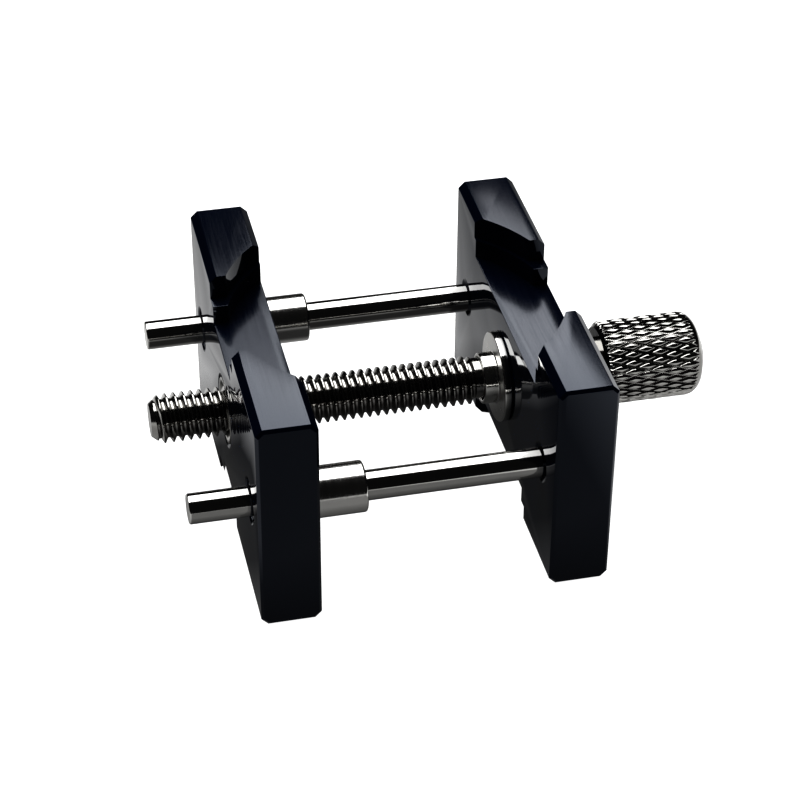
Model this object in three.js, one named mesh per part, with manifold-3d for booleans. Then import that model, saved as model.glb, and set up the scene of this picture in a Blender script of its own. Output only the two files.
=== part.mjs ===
// Reversible watch movement holder: two jaws on a pair of guide rods, drawn together by a screw
// with a knurled knob. Millimetres, +Z up, +X along the screw towards the knob. The origin is
// the centre of the object's base, in the open position that the jaws rest in here.
import * as THREE from 'three';
import { mergeVertices } from 'three/addons/utils/BufferGeometryUtils.js';
import Module from 'manifold-3d';

const wasm = await Module();
wasm.setup();

// Driving dimensions. Stations along X are measured from the moving jaw's outer face.
const JAW = { thickness: 6, length: 40, height: 23.4, chamfer: 0.7, endBreak: 0.3 };
const JAW_GAP = 22.9;
const AXIS_HEIGHT = JAW.height / 2;
const ROD = { radius: 1.5, offset: 15, tip: -6, chamfer: 0.25 };
const BUSHING = { radius: 2.55, end: 11.2, edge: 0.3, spigotRadius: 2.3, spigotStart: 0.3 };
const NUT = { radius: 3.45, chamfer: 0.35 };
const SCREW = {
  radius: 2.5, tip: -7.6, tipRadius: 1.9, tipCone: 0.7, threadEnd: 25.7, neckRadius: 2.2,
};
const COLLAR = { sleeveRadius: 2.65, sleeveStart: 26.5, flangeRadius: 4.7, flangeStart: 28 };
const KNOB = { radius: 4.4, start: 39, end: 50.2, hubRadius: 2.9, chamfer: 0.45, bore: 7.2 };
const KNOB_DOME = { shoulder: 48.1, cornerRadius: 1.7 };

// Each seat is a round pocket in two levels, open to the jaw's inner face. centre is how far the
// circle lies in front of that face. The top seat's levels go on to the outer face as slots; the
// bottom seat's circles are small enough to break through that face by themselves.
const TOP_SEAT = {
  centre: 10.5,
  levels: [{ radius: 16.3, slotWidth: 13.5, depth: 2.5 }, { radius: 15.8, slotWidth: 10.2, depth: 4.5 }],
};
const BOTTOM_SEAT = {
  centre: 3.1,
  levels: [{ radius: 10.45, slotWidth: 0, depth: 2.2 }, { radius: 9.4, slotWidth: 0, depth: 3.8 }],
};

// Countersinks on the bores' visible mouths.
const SINK = { nut: 0.4, bushing: 0.15, rod: 0.55 };

// Fits, as radial gaps, and the small end gaps between pieces that meet face to face.
const PRESS_GAP = 0.02;
const RUNNING_GAP = 0.05;
const END_GAP = 0.05;
const FLUSH_STEP = 0.1;

// Small bevel on the turned pieces' edges.
const EDGE_BREAK = 0.15;

const SEAT_SIDES = 160;
const ROUND_SIDES = 48;
const DOME_STEPS = 8;
const OVERCUT = 2;

// Stations that follow from the driving dimensions.
const FIXED_INNER = JAW.thickness + JAW_GAP;
const FIXED_OUTER = FIXED_INNER + JAW.thickness;
const MIDDLE = (SCREW.tip + KNOB.end) / 2;

const STEEL = { color: 0xc9ccd0, roughness: 0.18, metalness: 1 };
const BLACK_ANODISED = { color: 0x15171b, roughness: 0.28, metalness: 0.75 };

const group = new THREE.Group();

// Turns a closed three.js geometry into a solid for the boolean cuts.
function toSolid(geometry) {
  const bare = geometry.index ? geometry.toNonIndexed() : geometry.clone();
  bare.deleteAttribute('normal');
  bare.deleteAttribute('uv');
  const merged = mergeVertices(bare, 1e-5);
  const corners = merged.index.array;
  const triVerts = [];
  for (let i = 0; i < corners.length; i += 3) {
    const [a, b, c] = corners.subarray(i, i + 3);
    if (a !== b && b !== c && c !== a) triVerts.push(a, b, c);
  }
  return new wasm.Manifold(new wasm.Mesh({
    numProp: 3,
    vertProperties: Float32Array.from(merged.attributes.position.array),
    triVerts: Uint32Array.from(triVerts),
  }));
}

function toGeometry(solid) {
  const mesh = solid.getMesh();
  const geometry = new THREE.BufferGeometry();
  geometry.setAttribute('position', new THREE.BufferAttribute(Float32Array.from(mesh.vertProperties), 3));
  geometry.setIndex(Array.from(mesh.triVerts));
  geometry.computeVertexNormals();
  return geometry;
}

function addNode(name, solid, look, x = 0, y = 0, z = 0) {
  const mesh = new THREE.Mesh(toGeometry(solid), new THREE.MeshStandardMaterial(look));
  mesh.name = name;
  mesh.position.set(x - MIDDLE, y, z);
  group.add(mesh);
}

// A solid of revolution about X. The profile is a closed list of [station, radius].
function turned(profile) {
  const points = profile.map(([station, radius]) => new THREE.Vector2(radius, station));
  const geometry = new THREE.LatheGeometry(points, ROUND_SIDES);
  geometry.rotateZ(-Math.PI / 2);
  return toSolid(geometry);
}

// A bore along X through a jaw, with a countersink on its low-X mouth.
function bore(radius, low, high, countersink = 0) {
  const profile = [[low - OVERCUT, 0], [low - OVERCUT, radius + countersink]];
  if (countersink > 0) profile.push([low, radius + countersink]);
  profile.push([low + countersink, radius], [high + OVERCUT, radius], [high + OVERCUT, 0]);
  return turned(profile);
}

// The jaw blank: a bar along Y whose four long edges are chamfered and whose ends are broken.
function jawBlank() {
  const { thickness: t, height: h, chamfer: c, length, endBreak } = JAW;
  const outline = new THREE.Shape([
    [c, 0], [t - c, 0], [t, c], [t, h - c], [t - c, h], [c, h], [0, h - c], [0, c],
  ].map(([x, z]) => new THREE.Vector2(x, z)));
  const geometry = new THREE.ExtrudeGeometry(outline, {
    depth: length - 2 * endBreak,
    bevelEnabled: true,
    bevelSegments: 1,
    bevelThickness: endBreak,
    bevelSize: endBreak,
    bevelOffset: -endBreak,
  });
  geometry.translate(0, 0, endBreak - length / 2);
  geometry.rotateX(Math.PI / 2);
  return toSolid(geometry);
}

// One level of a seat, cut from the floor height to past the face. The jaw's inner face is at
// inner and its body lies in the direction side (+1 or -1) along X.
function seatLevel(level, centre, inner, side, low, high) {
  const pocket = new THREE.CylinderGeometry(level.radius, level.radius, high - low, SEAT_SIDES);
  pocket.rotateX(Math.PI / 2);
  pocket.translate(inner - side * centre, 0, (low + high) / 2);
  if (level.slotWidth === 0) return toSolid(pocket);
  const slotLength = JAW.thickness + 2 * OVERCUT;
  const slot = new THREE.BoxGeometry(slotLength, level.slotWidth, high - low);
  slot.translate(inner + side * slotLength / 2 - side * OVERCUT, 0, (low + high) / 2);
  return toSolid(pocket).add(toSolid(slot));
}

function cutSeats(blank, inner, side) {
  let jaw = blank;
  for (const level of TOP_SEAT.levels) {
    const floor = JAW.height - level.depth;
    jaw = jaw.subtract(seatLevel(level, TOP_SEAT.centre, inner, side, floor, JAW.height + OVERCUT));
  }
  for (const level of BOTTOM_SEAT.levels) {
    jaw = jaw.subtract(seatLevel(level, BOTTOM_SEAT.centre, inner, side, -OVERCUT, level.depth));
  }
  return jaw;
}

// The jaws keep their own frame: X from the outer or inner face with the lower X, Z from the base.
function movingJaw() {
  let jaw = cutSeats(jawBlank(), JAW.thickness, -1);
  jaw = jaw.subtract(bore(NUT.radius + PRESS_GAP, 0, JAW.thickness, SINK.nut).translate(0, 0, AXIS_HEIGHT));
  for (const y of [-ROD.offset, ROD.offset]) {
    const hole = bore(BUSHING.spigotRadius + PRESS_GAP, 0, JAW.thickness, SINK.bushing);
    jaw = jaw.subtract(hole.translate(0, y, AXIS_HEIGHT));
  }
  return jaw;
}

function fixedJaw() {
  let jaw = cutSeats(jawBlank(), 0, 1);
  jaw = jaw.subtract(bore(SCREW.neckRadius + RUNNING_GAP, 0, JAW.thickness).translate(0, 0, AXIS_HEIGHT));
  for (const y of [-ROD.offset, ROD.offset]) {
    const hole = bore(ROD.radius + PRESS_GAP, 0, JAW.thickness, SINK.rod);
    jaw = jaw.subtract(hole.translate(0, y, AXIS_HEIGHT));
  }
  return jaw;
}

function guideRod() {
  const high = FIXED_OUTER - FLUSH_STEP;
  const { tip, radius, chamfer } = ROD;
  return turned([
    [tip, 0], [tip, radius - chamfer], [tip + chamfer, radius],
    [high - chamfer, radius], [high, radius - chamfer], [high, 0],
  ]);
}

// The bushing's head stands on the moving jaw's inner face and its spigot is pressed into the jaw.
function guideBushing() {
  const inner = ROD.radius + RUNNING_GAP;
  const { radius, end, edge, spigotRadius, spigotStart } = BUSHING;
  const shoulder = JAW.thickness + END_GAP;
  return turned([
    [spigotStart, inner], [spigotStart, spigotRadius - EDGE_BREAK],
    [spigotStart + EDGE_BREAK, spigotRadius], [shoulder, spigotRadius],
    [shoulder, radius - EDGE_BREAK], [shoulder + EDGE_BREAK, radius],
    [end - edge, radius], [end, radius - edge], [end, inner], [spigotStart, inner],
  ]);
}

function leadNut() {
  const inner = SCREW.radius + RUNNING_GAP;
  const { radius, chamfer } = NUT;
  const high = JAW.thickness - FLUSH_STEP;
  return turned([
    [0, inner], [0, radius - chamfer], [chamfer, radius],
    [high - EDGE_BREAK, radius], [high, radius - EDGE_BREAK], [high, inner], [0, inner],
  ]);
}

// The screw's threaded length is a plain cylinder at the thread's major diameter.
function leadScrew() {
  const { tip, tipRadius, tipCone, radius, threadEnd, neckRadius } = SCREW;
  const high = KNOB.start + KNOB.bore - END_GAP;
  return turned([
    [tip, 0], [tip, tipRadius], [tip + tipCone, radius], [threadEnd + neckRadius - radius, radius],
    [threadEnd, neckRadius], [high, neckRadius], [high, 0],
  ]);
}

function thrustCollar() {
  const { sleeveRadius, sleeveStart, flangeRadius, flangeStart } = COLLAR;
  const inner = SCREW.neckRadius + PRESS_GAP;
  const high = FIXED_INNER - END_GAP;
  return turned([
    [sleeveStart, inner], [sleeveStart, sleeveRadius - EDGE_BREAK],
    [sleeveStart + EDGE_BREAK, sleeveRadius], [flangeStart, sleeveRadius],
    [flangeStart, flangeRadius - EDGE_BREAK], [flangeStart + EDGE_BREAK, flangeRadius],
    [high, flangeRadius], [high, inner], [sleeveStart, inner],
  ]);
}

// The knob's end is a rounded corner that runs into a shallow dome.
function domeProfile() {
  const { shoulder, cornerRadius } = KNOB_DOME;
  const flat = KNOB.radius - cornerRadius;
  const bulge = KNOB.end - shoulder - cornerRadius;
  const profile = [];
  for (let i = 0; i <= DOME_STEPS; i += 1) {
    const turn = (i / DOME_STEPS) * Math.PI / 2;
    const radius = flat + cornerRadius * Math.cos(turn);
    const lift = bulge * (1 - (radius / KNOB.radius) ** 2);
    profile.push([shoulder + cornerRadius * Math.sin(turn) + lift, radius]);
  }
  profile.push([KNOB.end - bulge * (flat / KNOB.radius / 2) ** 2, flat / 2], [KNOB.end, 0]);
  return profile;
}

function knob() {
  const inner = SCREW.neckRadius + PRESS_GAP;
  const { start, hubRadius, radius, chamfer, bore: boreDepth } = KNOB;
  const hubStart = FIXED_OUTER + END_GAP;
  return turned([
    [start + boreDepth, 0], [start + boreDepth, inner], [hubStart, inner],
    [hubStart, hubRadius - EDGE_BREAK], [hubStart + EDGE_BREAK, hubRadius], [start, hubRadius],
    [start, radius - chamfer], [start + chamfer, radius], ...domeProfile(),
  ]);
}

addNode('fixed_jaw', fixedJaw(), BLACK_ANODISED, FIXED_INNER);
addNode('moving_jaw', movingJaw(), BLACK_ANODISED);
for (const [place, y] of [['front', -ROD.offset], ['rear', ROD.offset]]) {
  addNode(`guide_rod_${place}`, guideRod(), STEEL, 0, y, AXIS_HEIGHT);
  addNode(`guide_bushing_${place}`, guideBushing(), STEEL, 0, y, AXIS_HEIGHT);
}
addNode('lead_nut', leadNut(), STEEL, 0, 0, AXIS_HEIGHT);
addNode('lead_screw', leadScrew(), STEEL, 0, 0, AXIS_HEIGHT);
addNode('thrust_collar', thrustCollar(), STEEL, 0, 0, AXIS_HEIGHT);
addNode('knob', knob(), STEEL, 0, 0, AXIS_HEIGHT);

export default group;
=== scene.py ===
"""Looks of the watch movement holder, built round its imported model. Metres, +Z up, +X to the knob."""

import math

import bmesh
import bpy
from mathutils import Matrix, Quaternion, Vector


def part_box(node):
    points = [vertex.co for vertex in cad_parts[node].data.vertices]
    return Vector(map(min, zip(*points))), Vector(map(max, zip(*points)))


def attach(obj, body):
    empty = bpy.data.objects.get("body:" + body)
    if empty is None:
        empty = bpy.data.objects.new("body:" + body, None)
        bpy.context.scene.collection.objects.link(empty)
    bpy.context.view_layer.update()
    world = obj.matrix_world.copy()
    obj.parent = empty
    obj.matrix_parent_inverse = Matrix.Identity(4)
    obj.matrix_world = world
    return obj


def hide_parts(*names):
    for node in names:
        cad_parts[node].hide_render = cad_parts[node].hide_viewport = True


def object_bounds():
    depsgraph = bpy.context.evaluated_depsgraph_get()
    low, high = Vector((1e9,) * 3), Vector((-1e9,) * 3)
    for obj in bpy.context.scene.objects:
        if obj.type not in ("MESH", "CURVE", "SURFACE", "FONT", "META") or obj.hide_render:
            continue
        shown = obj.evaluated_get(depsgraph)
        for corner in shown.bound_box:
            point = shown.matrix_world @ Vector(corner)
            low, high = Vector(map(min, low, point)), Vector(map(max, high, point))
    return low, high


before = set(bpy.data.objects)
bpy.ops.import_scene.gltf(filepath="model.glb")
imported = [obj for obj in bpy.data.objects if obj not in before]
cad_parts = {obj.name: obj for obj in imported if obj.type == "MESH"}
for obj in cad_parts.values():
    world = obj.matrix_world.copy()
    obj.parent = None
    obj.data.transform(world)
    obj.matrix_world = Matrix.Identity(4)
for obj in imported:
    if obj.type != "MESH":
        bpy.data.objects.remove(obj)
CAD_LOW, CAD_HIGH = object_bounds()

MM = 0.001

# Turned pieces. A rounded corner takes up at most this reach, as a share of the sides it joins.
ROUND_SIDES = 96
CORNER_STEPS = 4
CORNER_REACH = 0.4
NORMAL_WEIGHT = 90
POINT_SIZE = 1e-7

# Lead screw: a thread from the coned tip to the plain neck, which runs on into the knob. Its start
# is where a crest lies at angle zero, in pitches from the tip. The phases place the mesh's rows
# along one pitch, and are closest where the thread bends.
PITCH = 0.875 * MM
THREAD_START = -0.167
THREAD_DEPTH = 0.52 * MM
THREAD_COLUMNS = 72
THREAD_PHASES = [0, 0.04, 0.07, 0.1, 0.2, 0.3, 0.37, 0.4, 0.45, 0.5, 0.55, 0.6, 0.63, 0.7, 0.8, 0.9,
                 0.93, 0.96]
CREST_HALF_WIDTH = 0.07
ROOT_HALF_WIDTH = 0.1
TIP_CONE = 1.0 * MM
TIP_RADIUS = 1.7 * MM
NECK_RADIUS = 2.2 * MM
NECK_SHOWN = 0.8 * MM
RUNOUT_SINK = 0.02 * MM
RIM_TOLERANCE = 1e-6
THREAD_SHARP = 28

# Lead nut: countersunk at both ends.
NUT_MOUTH_RADIUS = 3.15 * MM
NUT_CLEARANCE = 0.05 * MM
NUT_ROUND = 0.12 * MM

# Collar: a sleeve, then a thin flange against the fixed jaw.
SLEEVE_RADIUS = 2.65 * MM
FLANGE_THICKNESS = 0.85 * MM
COLLAR_CLEARANCE = 0.02 * MM
COLLAR_ROUND = 0.18 * MM

# Guide rods, and their bushings: a head on the moving jaw's inner face and a spigot inside the jaw.
ROD_ROUND = 0.22 * MM
BUSHING_SPIGOT_RADIUS = 2.3 * MM
BUSHING_BORE_RADIUS = 1.55 * MM
BUSHING_HEAD_GAP = 0.05 * MM
BUSHING_ROUND = 0.28 * MM

# Knob: a hub, a knurled barrel and a smooth rounded end. The near chamfer starts below the knurl's
# peaks by a share of its depth. The knurl's top and crown are the share of a diamond's half width
# that its gentle top takes up, and the share of the depth that it falls by.
KNOB_HUB_RADIUS = 2.9 * MM
KNOB_HUB_LENGTH = 4.05 * MM
KNOB_EDGE_ROUND = 0.12 * MM
KNOB_CHAMFER = 0.45 * MM
KNOB_CHAMFER_IN_KNURL = 0.4
KNOB_CORNER_RADIUS = 1.7 * MM
KNOB_DOME_RISE = 0.55 * MM
KNOB_DOME_STEPS = 8
KNURL_COUNT = 30
KNURL_LENGTH = 2.92 * MM
KNURL_DEPTH = 0.27 * MM
KNURL_TOP = 0.57
KNURL_CROWN = 0.13
KNURL_SPLITS = 8
KNOB_COLUMNS = 2 * KNURL_COUNT * KNURL_SPLITS
KNOB_SHARP = 30

# Jaws. The edges that are broken are longer than a facet of a seat or a bore, and sharper than the
# edge angle. A facet of a seat or a bore is shorter than the longest, and square to no axis.
JAW_WELD = 2e-6
JAW_FLAT_ANGLE = math.radians(0.6)
JAW_EDGE_ROUND = 0.06 * MM
JAW_EDGE_STEPS = 3
JAW_STRAIGHT_EDGE = 1.2 * MM
JAW_EDGE_ANGLE = math.radians(24)
JAW_LONGEST_FACET = 7 * MM
JAW_SQUARE_FACE = 0.999
JAW_SHARP = 25

# Finishes. Each roughness is a range, from the least to the most marked places.
NOISE_SPAN = (0.3, 0.7)
NOISE_ROUGHNESS = 0.6
MARK_DETAIL = 3
CLOUD_DETAIL = 4
SQUARE_TO_AXIS = (0.93, 0.99)

ANODISED_IOR = 1.5
ANODISED_TINT = (0.80, 0.87, 1.0)
ANODISED_DARK = (0.0006, 0.0020, 0.0075)
ANODISED_LIGHT = (0.0010, 0.0034, 0.012)
ANODISED_CLOUDS = 180
BRUSHED_ALONG_Y = (7000, 110, 7000)
BRUSHED_DEPTH = 0.0006 * MM
UPRIGHT_BRUSHED = 0.25
UPRIGHT_ROUGHNESS = (0.03, 0.06)
LEVEL_ROUGHNESS = (0.14, 0.22)

NICKEL = ((0.30, 0.295, 0.285), (0.38, 0.375, 0.36))
STEEL = ((0.40, 0.395, 0.385), (0.49, 0.485, 0.47))
SATIN = ((0.54, 0.535, 0.52), (0.64, 0.635, 0.615))
STEEL_CLOUDS = 300
RING_MARKS = (9000, 200, 200)
SCREW_MARKS = (3000, 3000, 3000)
KNOB_MARKS = (2200, 2200, 2200)
SATIN_FACE = (0.26, 0.36)
POLISHED_FACE = (0.05, 0.10)

# Each steel part's colours, its roughness, the stretch of its marks, their depth, and the roughness
# of its faces square to X.
ROD_STEEL = (STEEL, (0.06, 0.12), RING_MARKS, 0.0004 * MM, SATIN_FACE)
BUSHING_STEEL = (SATIN, (0.12, 0.20), RING_MARKS, 0.001 * MM, SATIN_FACE)
NUT_STEEL = (NICKEL, (0.12, 0.22), RING_MARKS, 0.0008 * MM, SATIN_FACE)
SCREW_STEEL = (NICKEL, (0.10, 0.18), SCREW_MARKS, 0.0006 * MM, SATIN_FACE)
COLLAR_STEEL = (SATIN, (0.08, 0.16), RING_MARKS, 0.0005 * MM, SATIN_FACE)
KNOB_STEEL = (NICKEL, (0.07, 0.13), KNOB_MARKS, 0.009 * MM, POLISHED_FACE)

# The camera, by the way it looks and the point it looks at, from the centre of the model's base.
CAMERA_AZIMUTH = math.radians(-12.91)
CAMERA_ELEVATION = math.radians(35.88)
CAMERA_ROLL = math.radians(0.40)
CAMERA_AIM = Vector((-3.60, -1.97, 11.7)) * MM
CAMERA_DISTANCE = 235.6 * MM
CAMERA_LENS = 104.37
CAMERA_SENSOR = 36
CAMERA_CLIP = (0.01, 10)

# The floor. The camera sees it pale. Reflections see a painted glow on it instead: a painted shadow
# under the object, and painted light further out on each side: each edge is where the painted light
# begins and where it is full, along X or Y. Beyond the far edge only the far share of it is left.
FLOOR_SIZE = 4.0
FLOOR_COLOUR = 0.35
FLOOR_SEEN = 0.7
FLOOR_PAINTED_SHADOW = 0.055
FRONT_EDGE, FRONT_GLOW = (-10 * MM, -30 * MM), 0.27
BACK_EDGE, BACK_GLOW = (9.5 * MM, 24 * MM), 0.42
RIGHT_EDGE, RIGHT_GLOW = (17 * MM, 26 * MM), 0.55
LEFT_EDGE, LEFT_GLOW = (-27 * MM, -34 * MM), 0.38
FAR_EDGE, FAR_SHARE = (35 * MM, 100 * MM), 0.12

# The studio, and its softboxes: each one's near left and far right corners in X and Y, and radiance.
WORLD_SEEN = 1.0
WORLD_REFLECTED = 0.014
SOFTBOX_HEIGHT = 1.0
SOFTBOXES = {
    "overhead_softbox": ((-0.9, -0.05), (0.3, 1.385), 3.6),
    "side_softbox": ((0.3, -0.05), (0.5, 1.47), 3.9),
    "edge_softbox": ((0.39, 1.465), (0.6, 2.1), 1.9),
}


def middle(node):
    """The centre of a CAD node's box."""
    low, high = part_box(node)
    return (low + high) / 2


def outer_radius(node):
    """The radius of a CAD node that is round about X."""
    low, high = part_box(node)
    return (high.z - low.z) / 2


def new_piece(name, mesh, material, body, nodes):
    """A mesh object that rides on a body and stands for CAD nodes."""
    piece = bpy.data.objects.new(name, mesh)
    bpy.context.scene.collection.objects.link(piece)
    mesh.materials.append(material)
    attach(piece, body)
    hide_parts(*nodes)
    return piece


# ---------------------------------------------------------------- turned pieces

def soften(profile, radius, closed=False):
    """The profile with each corner rounded by a short curve."""
    count = len(profile)
    points = []
    for i, corner in enumerate(profile):
        here = Vector(corner)
        if not closed and i in (0, count - 1):
            points.append(here)
            continue
        before = Vector(profile[i - 1]) - here
        after = Vector(profile[(i + 1) % count]) - here
        reach = min(radius, before.length * CORNER_REACH, after.length * CORNER_REACH)
        start = here + before.normalized() * reach
        end = here + after.normalized() * reach
        for step in range(CORNER_STEPS + 1):
            t = step / CORNER_STEPS
            points.append(start * (1 - t) ** 2 + here * 2 * t * (1 - t) + end * t * t)
    return points


def turned_vertex(bm, centre, station, radius, angle):
    """A vertex at an angle about the axis that runs along X through centre."""
    y = centre.y + radius * math.cos(angle)
    return bm.verts.new((station, y, centre.z + radius * math.sin(angle)))


def turned_ring(bm, centre, station, radius, sides):
    """A ring of vertices about the axis, or one vertex where the radius is nothing."""
    if radius < POINT_SIZE:
        return [bm.verts.new((station, centre.y, centre.z))]
    angles = [2 * math.pi * side / sides for side in range(sides)]
    return [turned_vertex(bm, centre, station, radius, angle) for angle in angles]


def join_rings(bm, low, high):
    """Faces between two rings of vertices, either of which may be a single point."""
    count = max(len(low), len(high))
    for i in range(count):
        corners = [low[i % len(low)], low[(i + 1) % len(low)]]
        corners += [high[(i + 1) % len(high)], high[i % len(high)]]
        bm.faces.new(list(dict.fromkeys(corners)))


def finish_mesh(bm, mesh):
    """Outward normals and smooth shading."""
    bmesh.ops.recalc_face_normals(bm, faces=bm.faces)
    for face in bm.faces:
        face.smooth = True
    bm.to_mesh(mesh)
    bm.free()


def keep_edges_sharp(mesh, degrees):
    """Shades smoothly across gentle bends only."""
    mesh.set_sharp_from_angle(angle=math.radians(degrees))


def revolve(profile, centre, closed):
    """A mesh turned about X through centre. Profile points are (station, radius), in metres."""
    mesh = bpy.data.meshes.new("turned")
    bm = bmesh.new()
    rings = [turned_ring(bm, centre, station, radius, ROUND_SIDES) for station, radius in profile]
    pairs = list(zip(rings, rings[1:]))
    if closed:
        pairs.append((rings[-1], rings[0]))
    for low, high in pairs:
        join_rings(bm, low, high)
    finish_mesh(bm, mesh)
    return mesh


def turned_piece(name, profile, rounding, material, body, node, closed=True):
    """A piece turned about its CAD node's axis, which shades flat beside its small rounded edges."""
    mesh = revolve(soften(profile, rounding, closed), middle(node), closed)
    piece = new_piece(name, mesh, material, body, [node])
    modifier = piece.modifiers.new("weighted normals", "WEIGHTED_NORMAL")
    modifier.keep_sharp = True
    modifier.weight = NORMAL_WEIGHT


# ---------------------------------------------------------------- lead screw

def thread_groove(phase):
    """How deep the thread is at a phase of its pitch: 0 on the crest and 1 at the root."""
    distance = min(phase % 1, 1 - phase % 1)
    flank = 0.5 - CREST_HALF_WIDTH - ROOT_HALF_WIDTH
    return min(max((distance - CREST_HALF_WIDTH) / flank, 0), 1)


def screw_radius(station, phase, low, thread_end, crest):
    """Radius of the lead screw at a station, for a phase of the thread."""
    radius = crest - THREAD_DEPTH * thread_groove(phase)
    tip_limit = TIP_RADIUS + (station - low) * (crest - TIP_RADIUS) / TIP_CONE
    end_limit = NECK_RADIUS + (thread_end - station)
    return min(radius, tip_limit, max(end_limit, NECK_RADIUS - RUNOUT_SINK))


def lead_screw_mesh():
    """A right-hand helical thread as one grid whose rows follow the helix, then the plain neck."""
    low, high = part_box("lead_screw")
    centre = middle("lead_screw")
    crest = outer_radius("lead_screw")
    thread_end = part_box("thrust_collar")[0].x - NECK_SHOWN
    turns = math.ceil((thread_end - low.x) / PITCH) + 1
    rows = [turn + phase for turn in range(-1, turns) for phase in THREAD_PHASES]
    mesh = bpy.data.meshes.new("lead_screw_fine")
    bm = bmesh.new()
    grid = []
    for column in range(THREAD_COLUMNS + 1):
        share = column / THREAD_COLUMNS
        line = []
        for row in rows:
            along = low.x + PITCH * (row + share + THREAD_START)
            station = min(max(along, low.x), thread_end)
            phase = (station - low.x) / PITCH - share - THREAD_START
            radius = screw_radius(station, phase, low.x, thread_end, crest)
            line.append(turned_vertex(bm, centre, station, radius, 2 * math.pi * share))
        grid.append(line)
    for left, right in zip(grid, grid[1:]):
        for i in range(len(rows) - 1):
            bm.faces.new((left[i], left[i + 1], right[i + 1], right[i]))
    bmesh.ops.remove_doubles(bm, verts=bm.verts, dist=POINT_SIZE)
    bmesh.ops.dissolve_degenerate(bm, edges=bm.edges, dist=POINT_SIZE)
    close_screw_ends(bm, low.x, thread_end, high.x, centre)
    finish_mesh(bm, mesh)
    keep_edges_sharp(mesh, THREAD_SHARP)
    return mesh


def close_screw_ends(bm, tip, thread_end, end, centre):
    """A flat face on the open rim at the tip, and the neck with its far end on the other rim."""
    rims = [edge for edge in bm.edges if edge.is_boundary]
    tip_rim = [e for e in rims if max(v.co.x for v in e.verts) < tip + RIM_TOLERANCE]
    neck_rim = [e for e in rims if min(v.co.x for v in e.verts) > thread_end - RIM_TOLERANCE]
    bmesh.ops.contextual_create(bm, geom=tip_rim)
    ends = {}
    for vertex in [v for edge in neck_rim for v in edge.verts]:
        if vertex not in ends:
            around = Vector((0, vertex.co.y - centre.y, vertex.co.z - centre.z)).normalized()
            ends[vertex] = bm.verts.new(Vector((end, centre.y, centre.z)) + around * NECK_RADIUS)
    for first, second in [edge.verts for edge in neck_rim]:
        bm.faces.new((second, first, ends[first], ends[second]))
    end_rim = [bm.edges.get([ends[v] for v in edge.verts]) for edge in neck_rim]
    bmesh.ops.contextual_create(bm, geom=end_rim)


# ---------------------------------------------------------------- knob

def hub_profile(low, start):
    """The hub, from the middle of its face to the barrel. One more ring keeps its side straight."""
    profile = [(low, 0), (low, KNOB_HUB_RADIUS), (start, KNOB_HUB_RADIUS)]
    points = soften(profile, KNOB_EDGE_ROUND)
    points.insert(-1, (low + 2 * KNOB_EDGE_ROUND, KNOB_HUB_RADIUS))
    return points


def knurl_groove(station, angle):
    """Depth of the two crossing sets of V grooves, as a share: 0 on a diamond's peak."""
    around = KNURL_COUNT * angle / (2 * math.pi)
    along = station / KNURL_LENGTH
    deepest = 0
    for lane in (around + along, around - along):
        share = abs(2 * (lane % 1) - 1)
        wall = (share - KNURL_TOP) / (1 - KNURL_TOP)
        crown = KNURL_CROWN * min(share / KNURL_TOP, 1)
        deepest = max(deepest, crown + (1 - KNURL_CROWN) * max(wall, 0))
    return deepest


def knob_corner(station, high, outer):
    """Radius of the knob's rounded far edge, or a large number short of it."""
    into = station - (high - KNOB_DOME_RISE - KNOB_CORNER_RADIUS)
    if into <= 0:
        return math.inf
    drop = KNOB_CORNER_RADIUS - math.sqrt(max(KNOB_CORNER_RADIUS ** 2 - into ** 2, 0))
    return outer - drop


def knurled_ring(bm, centre, station, start, high, outer):
    """A ring of the barrel, with its grooves, its near chamfer and its rounded far edge."""
    chamfer = outer - KNOB_CHAMFER - KNURL_DEPTH * KNOB_CHAMFER_IN_KNURL + (station - start)
    limit = min(chamfer, knob_corner(station, high, outer))
    ring = []
    for column in range(KNOB_COLUMNS):
        angle = 2 * math.pi * column / KNOB_COLUMNS
        cut = outer - KNURL_DEPTH * knurl_groove(station - start, angle)
        ring.append(turned_vertex(bm, centre, station, min(cut, limit), angle))
    return ring


def dome_profile(start, end, outer):
    """The shallow dome on the knob's end, from its rounded edge to the middle."""
    rim = outer - KNOB_CORNER_RADIUS
    points = []
    for step in range(1, KNOB_DOME_STEPS):
        angle = math.pi / 2 * step / KNOB_DOME_STEPS
        points.append((start + (end - start) * math.sin(angle), rim * math.cos(angle)))
    return points + [(end, 0)]


def knob_mesh():
    """The hub, the knurled barrel and the smooth domed end."""
    low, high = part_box("knob")
    centre = middle("knob")
    outer = outer_radius("knob")
    start = low.x + KNOB_HUB_LENGTH
    edge_end = high.x - KNOB_DOME_RISE
    step = KNURL_LENGTH / (2 * KNURL_SPLITS)
    stations = [start + step * i for i in range(int((edge_end - start) / step) + 1)]
    mesh = bpy.data.meshes.new("knob_fine")
    bm = bmesh.new()
    rings = [turned_ring(bm, centre, s, r, KNOB_COLUMNS) for s, r in hub_profile(low.x, start)]
    for station in stations + [edge_end]:
        rings.append(knurled_ring(bm, centre, station, start, high.x, outer))
    dome = dome_profile(edge_end, high.x, outer)
    rings += [turned_ring(bm, centre, s, r, KNOB_COLUMNS) for s, r in dome]
    for near, far in zip(rings, rings[1:]):
        join_rings(bm, near, far)
    finish_mesh(bm, mesh)
    keep_edges_sharp(mesh, KNOB_SHARP)
    return mesh


# ---------------------------------------------------------------- jaws

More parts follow.
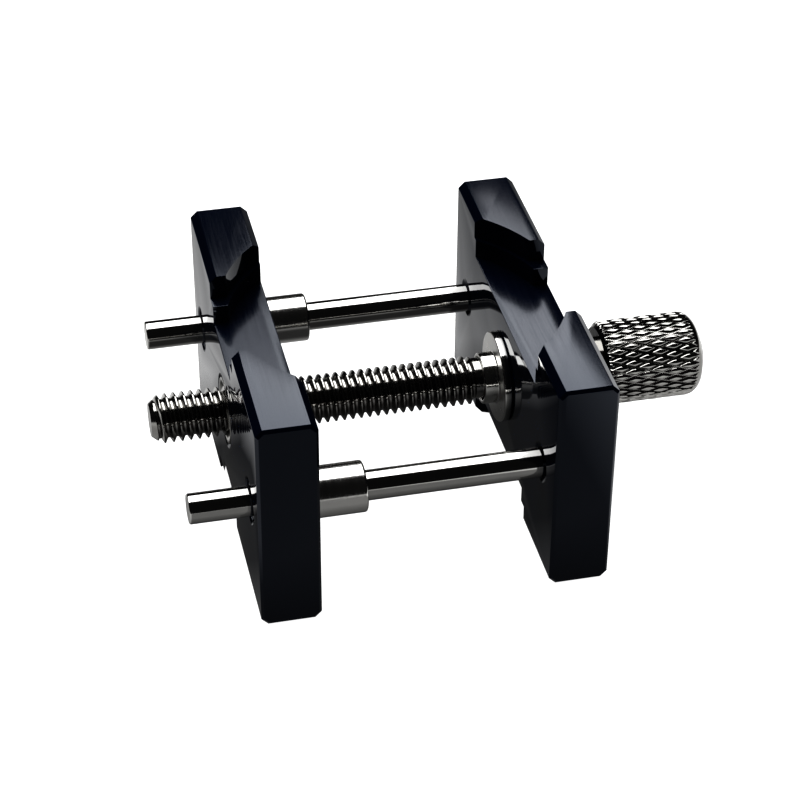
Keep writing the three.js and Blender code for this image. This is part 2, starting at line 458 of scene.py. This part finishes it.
def jaw_mesh(node):
    """The CAD jaw's own shape, with its flat faces made whole and its outer edges broken."""
    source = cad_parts[node].data
    mesh = bpy.data.meshes.new(node + "_fine")
    bm = bmesh.new()
    corners = [bm.verts.new(vertex.co) for vertex in source.vertices]
    for polygon in source.polygons:
        bm.faces.new([corners[i] for i in polygon.vertices])
    bmesh.ops.remove_doubles(bm, verts=bm.verts, dist=JAW_WELD)
    bmesh.ops.dissolve_limit(bm, angle_limit=JAW_FLAT_ANGLE, verts=bm.verts, edges=bm.edges)
    edges = [edge for edge in bm.edges if is_outer_edge(edge)]
    bmesh.ops.bevel(
        bm, geom=edges, offset=JAW_EDGE_ROUND, segments=JAW_EDGE_STEPS, profile=0.5,
        affect="EDGES", clamp_overlap=False, miter_outer="ARC")
    for face in bm.faces:
        face.smooth = is_curved_wall(face)
    bm.to_mesh(mesh)
    bm.free()
    keep_edges_sharp(mesh, JAW_SHARP)
    return mesh


def is_outer_edge(edge):
    """True for a straight convex edge of the block, and false for the bores and the round seats."""
    if not edge.is_convex or edge.calc_face_angle(0) < JAW_EDGE_ANGLE:
        return False
    return edge.calc_length() > JAW_STRAIGHT_EDGE


def is_curved_wall(face):
    """True for the facets of the round seats and the bores, and false for the flat faces."""
    longest = max(edge.calc_length() for edge in face.edges)
    return longest < JAW_LONGEST_FACET and max(abs(n) for n in face.normal) < JAW_SQUARE_FACE


# ---------------------------------------------------------------- materials

def node_material(name):
    """A new material, its node tree and its shader."""
    material = bpy.data.materials.new(name)
    material.use_nodes = True
    return material, material.node_tree, material.node_tree.nodes["Principled BSDF"]


def grain(tree, scale, stretch, detail):
    """Noise over the object's own coordinates, stretched along its axes."""
    place = tree.nodes.new("ShaderNodeTexCoord")
    mapping = tree.nodes.new("ShaderNodeMapping")
    mapping.inputs["Scale"].default_value = stretch
    noise = tree.nodes.new("ShaderNodeTexNoise")
    noise.inputs["Scale"].default_value = scale
    noise.inputs["Detail"].default_value = detail
    noise.inputs["Roughness"].default_value = NOISE_ROUGHNESS
    tree.links.new(place.outputs["Object"], mapping.inputs["Vector"])
    tree.links.new(mapping.outputs["Vector"], noise.inputs["Vector"])
    return noise.outputs["Fac"]


def ramp(tree, value, source, result):
    """The value mapped from one range onto another, held at its ends."""
    node = tree.nodes.new("ShaderNodeMapRange")
    node.inputs["From Min"].default_value, node.inputs["From Max"].default_value = source
    node.inputs["To Min"].default_value, node.inputs["To Max"].default_value = result
    tree.links.new(value, node.inputs["Value"])
    return node.outputs["Result"]


def combine(tree, operation, one, other):
    """Two values put through a Math node."""
    node = tree.nodes.new("ShaderNodeMath")
    node.operation = operation
    tree.links.new(one, node.inputs[0])
    tree.links.new(other, node.inputs[1])
    return node.outputs["Value"]


def colour_mix(tree, factor, first, second):
    """A Mix node between two colours. A link to one of its colours takes that colour's place."""
    mix = tree.nodes.new("ShaderNodeMix")
    mix.data_type = "RGBA"
    mix.inputs["A"].default_value = (*first, 1)
    mix.inputs["B"].default_value = (*second, 1)
    tree.links.new(factor, mix.inputs["Factor"])
    return mix


def grey(value):
    """A grey as a colour."""
    return (value, value, value)


def cloud_colour(tree, shader, scale, dark, light):
    """A base colour that drifts softly between two close shades."""
    cloud = grain(tree, scale, (1, 1, 1), CLOUD_DETAIL)
    mix = colour_mix(tree, cloud, dark, light)
    tree.links.new(mix.outputs["Result"], shader.inputs["Base Color"])


def facing(tree, axis):
    """1 on faces square to an axis, and 0 on the others."""
    geometry = tree.nodes.new("ShaderNodeNewGeometry")
    split = tree.nodes.new("ShaderNodeSeparateXYZ")
    size = tree.nodes.new("ShaderNodeMath")
    size.operation = "ABSOLUTE"
    tree.links.new(geometry.outputs["True Normal"], split.inputs["Vector"])
    tree.links.new(split.outputs[axis], size.inputs[0])
    return ramp(tree, size.outputs["Value"], SQUARE_TO_AXIS, (0, 1))


def two_roughnesses(tree, shader, marks, factor, first, second):
    """A roughness that follows the marks, within the first range or, by the factor, the second."""
    rough = tree.nodes.new("ShaderNodeMix")
    tree.links.new(factor, rough.inputs["Factor"])
    tree.links.new(ramp(tree, marks, NOISE_SPAN, first), rough.inputs["A"])
    tree.links.new(ramp(tree, marks, NOISE_SPAN, second), rough.inputs["B"])
    tree.links.new(rough.outputs["Result"], shader.inputs["Roughness"])


def bump(tree, shader, marks, depth):
    """Marks cut this deep into the surface's shading."""
    node = tree.nodes.new("ShaderNodeBump")
    node.inputs["Strength"].default_value = 1
    node.inputs["Distance"].default_value = depth
    tree.links.new(marks, node.inputs["Height"])
    tree.links.new(node.outputs["Normal"], shader.inputs["Normal"])
    return node


def black_anodised():
    """Glossy black anodised aluminium, finely brushed along Y and duller on its level faces."""
    material, tree, shader = node_material("black_anodised")
    shader.inputs["Metallic"].default_value = 0
    shader.inputs["IOR"].default_value = ANODISED_IOR
    shader.inputs["Specular Tint"].default_value = (*ANODISED_TINT, 1)
    lines = grain(tree, 1.0, BRUSHED_ALONG_Y, MARK_DETAIL)
    level = facing(tree, "Z")
    two_roughnesses(tree, shader, lines, level, UPRIGHT_ROUGHNESS, LEVEL_ROUGHNESS)
    cloud_colour(tree, shader, ANODISED_CLOUDS, ANODISED_DARK, ANODISED_LIGHT)
    brushed = bump(tree, shader, lines, BRUSHED_DEPTH)
    tree.links.new(ramp(tree, level, (0, 1), (UPRIGHT_BRUSHED, 1)), brushed.inputs["Strength"])
    return material


def bright_steel(name, colours, roughness, stretch, depth, faced):
    """Bright steel with turning marks. The faces turned square to X have their own roughness."""
    material, tree, shader = node_material(name)
    shader.inputs["Metallic"].default_value = 1
    marks = grain(tree, 1.0, stretch, MARK_DETAIL)
    two_roughnesses(tree, shader, marks, facing(tree, "X"), roughness, faced)
    cloud_colour(tree, shader, STEEL_CLOUDS, *colours)
    bump(tree, shader, marks, depth)
    return material


# ---------------------------------------------------------------- the pieces

def build_jaws():
    """The two black jaws."""
    black = black_anodised()
    for node, body in (("fixed_jaw", "fixed_jaw_body"), ("moving_jaw", "moving_jaw_body")):
        new_piece(node + "_block", jaw_mesh(node), black, body, [node])


def build_guides():
    """The two plain rods, and the flanged sleeves in the moving jaw that slide on them."""
    rod_steel = bright_steel("rod_steel", *ROD_STEEL)
    bushing_steel = bright_steel("bushing_steel", *BUSHING_STEEL)
    for side in ("front", "rear"):
        node = "guide_rod_" + side
        turned_piece(
            node + "_polished", rod_profile(node), ROD_ROUND, rod_steel, "fixed_jaw_body",
            node, closed=False)
        node = "guide_bushing_" + side
        turned_piece(
            node + "_polished", bushing_profile(node), BUSHING_ROUND, bushing_steel,
            "moving_jaw_body", node)


def rod_profile(node):
    """A plain rod."""
    low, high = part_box(node)
    radius = outer_radius(node)
    return [(low.x, 0), (low.x, radius), (high.x, radius), (high.x, 0)]


def bushing_profile(node):
    """A spigot inside the moving jaw and a head just clear of its inner face."""
    low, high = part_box(node)
    radius = outer_radius(node)
    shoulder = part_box("moving_jaw")[1].x + BUSHING_HEAD_GAP
    return [
        (low.x, BUSHING_BORE_RADIUS), (low.x, BUSHING_SPIGOT_RADIUS),
        (shoulder, BUSHING_SPIGOT_RADIUS), (shoulder, radius),
        (high.x, radius), (high.x, BUSHING_BORE_RADIUS),
    ]


def build_nut():
    """The nut in the moving jaw, with a plain bore that clears the screw."""
    steel = bright_steel("nut_steel", *NUT_STEEL)
    low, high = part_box("lead_nut")
    radius = outer_radius("lead_nut")
    bore = outer_radius("lead_screw") + NUT_CLEARANCE
    sink = NUT_MOUTH_RADIUS - bore
    profile = [
        (low.x, NUT_MOUTH_RADIUS), (low.x, radius), (high.x, radius),
        (high.x, NUT_MOUTH_RADIUS), (high.x - sink, bore), (low.x + sink, bore),
    ]
    turned_piece(
        "lead_nut_turned", profile, NUT_ROUND, steel, "moving_jaw_body", "lead_nut")


def build_screw():
    """The lead screw."""
    steel = bright_steel("screw_steel", *SCREW_STEEL)
    mesh = lead_screw_mesh()
    new_piece("lead_screw_threaded", mesh, steel, "screw_body", ["lead_screw"])


def build_collar():
    """The flanged sleeve on the screw's neck."""
    steel = bright_steel("collar_steel", *COLLAR_STEEL)
    low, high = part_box("thrust_collar")
    radius = outer_radius("thrust_collar")
    flange = high.x - FLANGE_THICKNESS
    bore = NECK_RADIUS + COLLAR_CLEARANCE
    profile = [
        (low.x, bore), (low.x, SLEEVE_RADIUS), (flange, SLEEVE_RADIUS),
        (flange, radius), (high.x, radius), (high.x, bore),
    ]
    turned_piece(
        "thrust_collar_polished", profile, COLLAR_ROUND, steel, "screw_body",
        "thrust_collar")


def build_knob():
    """The thumb knob."""
    steel = bright_steel("knob_steel", *KNOB_STEEL)
    new_piece("knob_knurled", knob_mesh(), steel, "screw_body", ["knob"])


# ---------------------------------------------------------------- stage

def painted_floor_light_and_shadow(tree):
    """The painted light that reflections see in the floor, by the place on it, dark as a painted shadow
    under the object.
    """
    place = tree.nodes.new("ShaderNodeTexCoord")
    split = tree.nodes.new("ShaderNodeSeparateXYZ")
    tree.links.new(place.outputs["Object"], split.inputs["Vector"])
    x, y = split.outputs["X"], split.outputs["Y"]
    # Painted shadow under the object, rising to painted light to the front, back and sides.
    front = ramp(tree, y, FRONT_EDGE, (FLOOR_PAINTED_SHADOW, FRONT_GLOW))
    back = ramp(tree, y, BACK_EDGE, (0, BACK_GLOW))
    right = ramp(tree, x, RIGHT_EDGE, (0, RIGHT_GLOW))
    left = ramp(tree, x, LEFT_EDGE, (0, LEFT_GLOW))
    near = ramp(tree, y, FAR_EDGE, (1, FAR_SHARE))
    sides = combine(tree, "ADD", left, right)
    ends = combine(tree, "ADD", front, back)
    return combine(tree, "MULTIPLY", combine(tree, "ADD", sides, ends), near)


def build_floor():
    """A plain pale floor, with a softer painted glow of its own for the object's reflections, dark as a
    painted shadow under the object.
    """
    mesh = bpy.data.meshes.new("floor")
    half = FLOOR_SIZE / 2
    corners = [(-half, -half, 0), (half, -half, 0), (half, half, 0), (-half, half, 0)]
    mesh.from_pydata(corners, [], [(0, 1, 2, 3)])
    floor = bpy.data.objects.new("floor", mesh)
    bpy.context.scene.collection.objects.link(floor)
    floor.location.z = CAD_LOW.z
    material, tree, shader = node_material("floor")
    shader.inputs["Roughness"].default_value = 1
    shader.inputs["Specular IOR Level"].default_value = 0
    shader.inputs["Emission Strength"].default_value = 1
    seen = tree.nodes.new("ShaderNodeLightPath").outputs["Is Camera Ray"]
    colour = colour_mix(tree, seen, grey(0), grey(FLOOR_COLOUR))
    tree.links.new(colour.outputs["Result"], shader.inputs["Base Color"])
    # Rays other than the camera's see the painted glow: painted light around the object and a painted
    # shadow under it.
    glow = colour_mix(tree, seen, grey(0), grey(FLOOR_SEEN))
    tree.links.new(painted_floor_light_and_shadow(tree), glow.inputs["A"])
    tree.links.new(glow.outputs["Result"], shader.inputs["Emission Color"])
    mesh.materials.append(material)


def build_world():
    """White behind the object, and nearly dark in its reflections."""
    world = bpy.data.worlds.new("studio")
    world.use_nodes = True
    bpy.context.scene.world = world
    tree = world.node_tree
    seen = tree.nodes.new("ShaderNodeLightPath").outputs["Is Camera Ray"]
    mix = colour_mix(tree, seen, grey(WORLD_REFLECTED), grey(WORLD_SEEN))
    tree.links.new(mix.outputs["Result"], tree.nodes["Background"].inputs["Color"])


def build_lights():
    """Level rectangular softboxes that face down."""
    for name, (low, high, radiance) in SOFTBOXES.items():
        light = bpy.data.lights.new(name, "AREA")
        light.shape = "RECTANGLE"
        light.size, light.size_y = high[0] - low[0], high[1] - low[1]
        light.energy = math.pi * radiance * light.size * light.size_y
        lamp = bpy.data.objects.new(name, light)
        bpy.context.scene.collection.objects.link(lamp)
        lamp.location = ((low[0] + high[0]) / 2, (low[1] + high[1]) / 2, SOFTBOX_HEIGHT)


def build_camera():
    """The camera at the photograph's viewing angle."""
    data = bpy.data.cameras.new("camera")
    data.lens = CAMERA_LENS
    data.sensor_width = CAMERA_SENSOR
    data.clip_start, data.clip_end = CAMERA_CLIP
    camera = bpy.data.objects.new("camera", data)
    bpy.context.scene.collection.objects.link(camera)
    flat = math.cos(CAMERA_ELEVATION)
    back = Vector((
        math.sin(CAMERA_AZIMUTH) * flat, -math.cos(CAMERA_AZIMUTH) * flat, math.sin(CAMERA_ELEVATION)))
    centre = Vector(((CAD_LOW.x + CAD_HIGH.x) / 2, (CAD_LOW.y + CAD_HIGH.y) / 2, CAD_LOW.z))
    camera.location = centre + CAMERA_AIM + back * CAMERA_DISTANCE
    camera.rotation_mode = "QUATERNION"
    roll = Quaternion((0, 0, 1), CAMERA_ROLL)
    camera.rotation_quaternion = (-back).to_track_quat("-Z", "Y") @ roll
    bpy.context.scene.camera = camera


def set_look():
    """The photograph's raised contrast."""
    view = bpy.context.scene.view_settings
    view.view_transform = "Standard"
    view.look = "High Contrast"


build_camera()
build_floor()
build_world()
build_lights()
set_look()
build_jaws()
build_guides()
build_nut()
build_screw()
build_collar()
build_knob()
